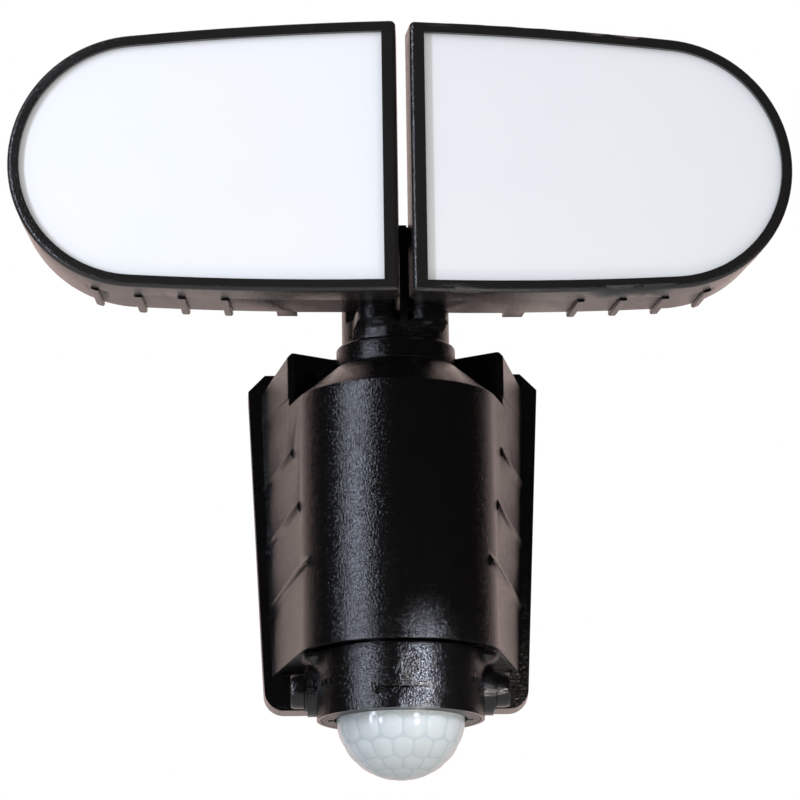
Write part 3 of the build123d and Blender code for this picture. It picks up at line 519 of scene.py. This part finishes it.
marks = {
    "axisY": -58.0 * mm,
    "strokeWidth": 0.6 * mm,
    "strokeHeight": 0.55 * mm,
    "strokeBevel": 0.18 * mm,
    "sunk": 0.16 * mm,  # how deep a stroke's foot sits below the surface
    "casingRadius": 38.0 * mm,
    # each stroke runs from mm across, mm up, to mm across, mm up
    "casingPointer": ((-2.4, -47.7, 4.1, -47.7), (-2.4, -47.7, 0.85, -51.4), (4.1, -47.7, 0.85, -51.4)),
    "barrelRadius": 31.6 * mm,
    "barrelPointer": ((-2.6, -66.4, -0.9, -61.6), (-0.9, -61.6, -0.35, -66.4)),
    "tickAngles": (58.0, 63.0, 68.0),  # degrees either side of the front
    "tickHeights": (-67.6, -65.8),  # mm up
}


def addStroke(mesh, radius, startX, startZ, endX, endZ):
    # low bar along the surface of a round body, from one point to another
    middleX, middleZ = (startX + endX) / 2, (startZ + endZ) / 2
    across = math.asin(max(-1.0, min(1.0, middleX / radius)))
    length = math.hypot(endX - startX, endZ - startZ)
    lean = math.atan2(endZ - startZ, endX - startX)
    verts = bmesh.ops.create_cube(mesh, size=1.0)["verts"]
    width = marks["strokeWidth"]
    bmesh.ops.scale(mesh, vec=(length + width, marks["strokeHeight"], width), verts=verts)
    bmesh.ops.rotate(mesh, matrix=Matrix.Rotation(-lean, 3, "Y"), verts=verts)
    out = radius - marks["sunk"] + marks["strokeHeight"] / 2
    bmesh.ops.translate(mesh, vec=(0, -out, 0), verts=verts)
    bmesh.ops.rotate(mesh, matrix=Matrix.Rotation(across, 3, "Z"), verts=verts)
    bmesh.ops.translate(mesh, vec=(0, marks["axisY"], middleZ), verts=verts)


def makeMarks(name, body, strokes):
    mesh = bmesh.new()
    for radius, stroke in strokes:
        addStroke(mesh, radius, *[value * mm for value in stroke])
    bmesh.ops.bevel(mesh, geom=mesh.edges[:], offset=marks["strokeBevel"], segments=2, affect="EDGES",
                    profile=0.5, material=-1)
    return finishPiece(pieceFromBmesh(name, mesh), materialOfSlot["smooth_black"], body)


makeMarks("casing_pointer", "housing", [(marks["casingRadius"], stroke) for stroke in marks["casingPointer"]])
barrelStrokes = [(marks["barrelRadius"], stroke) for stroke in marks["barrelPointer"]]
for tickAngle in marks["tickAngles"]:
    tickX = marks["barrelRadius"] / mm * math.sin(math.radians(tickAngle))
    low, high = marks["tickHeights"]
    for x in (-tickX, tickX):
        barrelStrokes.append((marks["barrelRadius"], (x, low, x, high)))
makeMarks("barrel_pointer_and_ticks", "sensor", barrelStrokes)
print("raised marks made")


# stage, lamps and camera

studio = {
    "floorZ": -1.7,  # low enough for views from below
    "floorSize": 9.0,
    "floorColour": "#EFEFEE",
    "keyPlace": (-1.23, -1.07, 0.3),  # a tall strip of cool light from the left
    "keyTarget": (0.0, -0.06, 0.04),
    "keySize": (0.2, 1.6),
    "keyPower": 18.0,
    "keyColour": "#E4ECFF",
    "glintPlace": (0.0696, -0.186, -0.112),  # small lamp for the spark on the dome
    "glintTarget": (0.0, -0.058, -0.078),
    "glintSize": (0.022, 0.022),
    "glintPower": 0.1,
    "glintColour": "#FFF9F0",
    "lowPlace": (0.07, -0.2, -0.045),  # small lamp on the right half of the barrel
    "lowTarget": (0.011, -0.088, -0.069),
    "lowSize": (0.045, 0.03),
    "lowPower": 0.0045,
    "lowSpread": 16,  # degrees, so that it lights the barrel only
    "lowColour": "#E4ECFF",
}


def addLamp(name):
    lamp = bpy.data.lights.new(name, "AREA")
    lamp.shape = "RECTANGLE"
    lamp.size, lamp.size_y = studio[name + "Size"]
    lamp.energy = studio[name + "Power"]
    lamp.color = linear(studio[name + "Colour"])[:3]
    holder = bpy.data.objects.new(name, lamp)
    place = Vector(studio[name + "Place"])
    holder.location = place
    toTarget = Vector(studio[name + "Target"]) - place
    holder.rotation_euler = toTarget.to_track_quat("-Z", "Y").to_euler()
    holder.visible_camera = False
    scene.collection.objects.link(holder)
    return lamp


addLamp("key")
addLamp("glint")
addLamp("low").spread = math.radians(studio["lowSpread"])

floorMesh = bmesh.new()
bmesh.ops.create_grid(floorMesh, x_segments=1, y_segments=1, size=studio["floorSize"] / 2)
bmesh.ops.translate(floorMesh, verts=floorMesh.verts, vec=(0, 0, studio["floorZ"]))
floor = pieceFromBmesh("studioFloor", floorMesh)
floorSettings = {"Base Color": linear(studio["floorColour"]), "Roughness": 0.9}
# seamless white paper: matt and even
floor.data.materials.append(newMaterial("paper_white_seamless", floorSettings)[0])

surroundings = {
    "seenColour": "#FFFFFF",
    "softStrength": 0.66,
    "mirrorTint": "#DCC6C0",  # warm white wall behind the object, seen only in reflections
    "mirrorFrom": 0.62,  # how far a reflection points towards the wall where it leaves the dark
    "mirrorFull": 0.8,  # and where it sees the full wall
    "mirrorDark": 0.02,
    "mirrorBright": 1.25,
    "skyward": 0.225,  # reflections that point up see the wall sooner
    "steep": 0.075,  # and so do those that point well up or down
}
world = bpy.data.worlds.new("paleStudio")
scene.world = world
world.use_nodes = True
worldTree = world.node_tree
worldTree.nodes.clear()
path = addNode(worldTree, "ShaderNodeLightPath")
direction = addNode(worldTree, "ShaderNodeTexCoord").outputs["Generated"]
axes = addNode(worldTree, "ShaderNodeSeparateXYZ", links={"Vector": direction})

steep = addNode(worldTree, "ShaderNodeMath", {"operation": "ABSOLUTE"}, {0: axes.outputs["Z"]})
raised = addNode(worldTree, "ShaderNodeMath", {"operation": "MULTIPLY_ADD", 1: surroundings["skyward"]},
                 {0: axes.outputs["Z"], 2: axes.outputs["Y"]})
farSide = addNode(worldTree, "ShaderNodeMath", {"operation": "MULTIPLY_ADD", 1: surroundings["steep"]},
                  {0: steep.outputs[0], 2: raised.outputs[0]})
behind = addNode(worldTree, "ShaderNodeMapRange", {
    "From Min": surroundings["mirrorFrom"], "From Max": surroundings["mirrorFull"],
    "To Min": surroundings["mirrorDark"], "To Max": surroundings["mirrorBright"],
}, {"Value": farSide.outputs[0]})

# soft light for the surfaces, the wall for reflections, plain white for the camera
white = linear(surroundings["seenColour"])
soft = addNode(worldTree, "ShaderNodeBackground", {"Color": white, "Strength": surroundings["softStrength"]})
mirrored = addNode(worldTree, "ShaderNodeBackground", {"Color": linear(surroundings["mirrorTint"])},
                   {"Strength": behind.outputs["Result"]})
seen = addNode(worldTree, "ShaderNodeBackground", {"Color": white, "Strength": 1.0})
lighting = addNode(worldTree, "ShaderNodeMixShader", links={
    "Fac": path.outputs["Is Glossy Ray"], 1: soft.outputs[0], 2: mirrored.outputs[0],
})
clearRay = addNode(worldTree, "ShaderNodeMath", {"operation": "MAXIMUM"}, {
    0: path.outputs["Is Camera Ray"], 1: path.outputs["Is Transmission Ray"],
})
everything = addNode(worldTree, "ShaderNodeMixShader", links={
    "Fac": clearRay.outputs[0], 1: lighting.outputs[0], 2: seen.outputs[0],
})
addNode(worldTree, "ShaderNodeOutputWorld", links={"Surface": everything.outputs[0]})

cameraSet = {
    "place": (-0.0425, -1.4170, -0.2902),
    "turn": 1.85,  # angles in degrees
    "tilt": 13.8,
    "roll": -0.83,
    "lens": 165.7,
    "sensorWidth": 36.0,
    "nearest": 0.05,
}
cameraData = bpy.data.cameras.new("photoCamera")
cameraData.lens = cameraSet["lens"]
cameraData.sensor_width = cameraSet["sensorWidth"]
cameraData.clip_start = cameraSet["nearest"]
camera = bpy.data.objects.new("photoCamera", cameraData)
camera.location = cameraSet["place"]
aim = Euler((math.radians(90 + cameraSet["tilt"]), 0, math.radians(-cameraSet["turn"]))).to_matrix()
camera.rotation_euler = (aim @ Matrix.Rotation(math.radians(cameraSet["roll"]), 3, "Z")).to_euler()
scene.collection.objects.link(camera)
scene.camera = camera
scene.view_settings.view_transform = "Standard"
print("stage, lamps and camera set")
